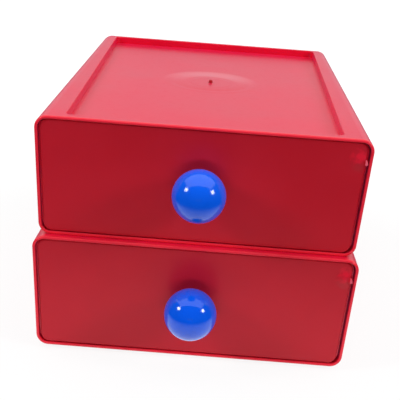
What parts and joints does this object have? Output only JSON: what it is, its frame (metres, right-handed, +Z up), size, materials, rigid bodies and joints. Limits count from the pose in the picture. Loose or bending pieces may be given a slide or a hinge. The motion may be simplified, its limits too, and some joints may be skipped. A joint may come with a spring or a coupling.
{
  "type": "desk storage box",
  "caption": "Stack of drafted plastic drawer units: open-front casings with a recessed stacking top and sliding drawers with a ball knob.",
  "frame": {"origin": "on the ground under the middle of the stack's box, knobs included", "axes": "+Z up, -Y towards the user: the drawers open along -Y, +X to the user's right"},
  "size_m": [0.251, 0.3894, 0.193],
  "materials": {
    "casing_red": "semi-gloss moulded",
    "tray_red": "semi-gloss moulded",
    "front_red": "semi-gloss moulded",
    "knob_blue": "high gloss",
    "insert_brass": "turned",
    "screw_steel": "zinc plated"
  },
  "bodies": {
    "lower_case": {"lower_casing": "casing_red"},
    "lower_drawer": {"lower_tray": "tray_red", "lower_front": "front_red", "lower_knob": "knob_blue", "lower_knob_insert": "insert_brass", "lower_knob_screw": "screw_steel", "lower_knob_washer": "screw_steel"},
    "upper_case": {"upper_casing": "casing_red"},
    "upper_drawer": {"upper_tray": "tray_red", "upper_front": "front_red", "upper_knob": "knob_blue", "upper_knob_insert": "insert_brass", "upper_knob_screw": "screw_steel", "upper_knob_washer": "screw_steel"}
  },
  "joints": [
    {"name": "lower_drawer_slide", "type": "slide", "parent": "lower_case", "child": "lower_drawer", "axis": [0, -1, 0], "range_m": [0, 0.284]},
    {"name": "upper_unit_lift", "type": "slide", "parent": "lower_case", "child": "upper_case", "axis": [0, 0, 1], "range_m": [0, 0.12]},
    {"name": "upper_drawer_slide", "type": "slide", "parent": "upper_case", "child": "upper_drawer", "axis": [0, -1, 0], "range_m": [0, 0.284]}
  ]
}
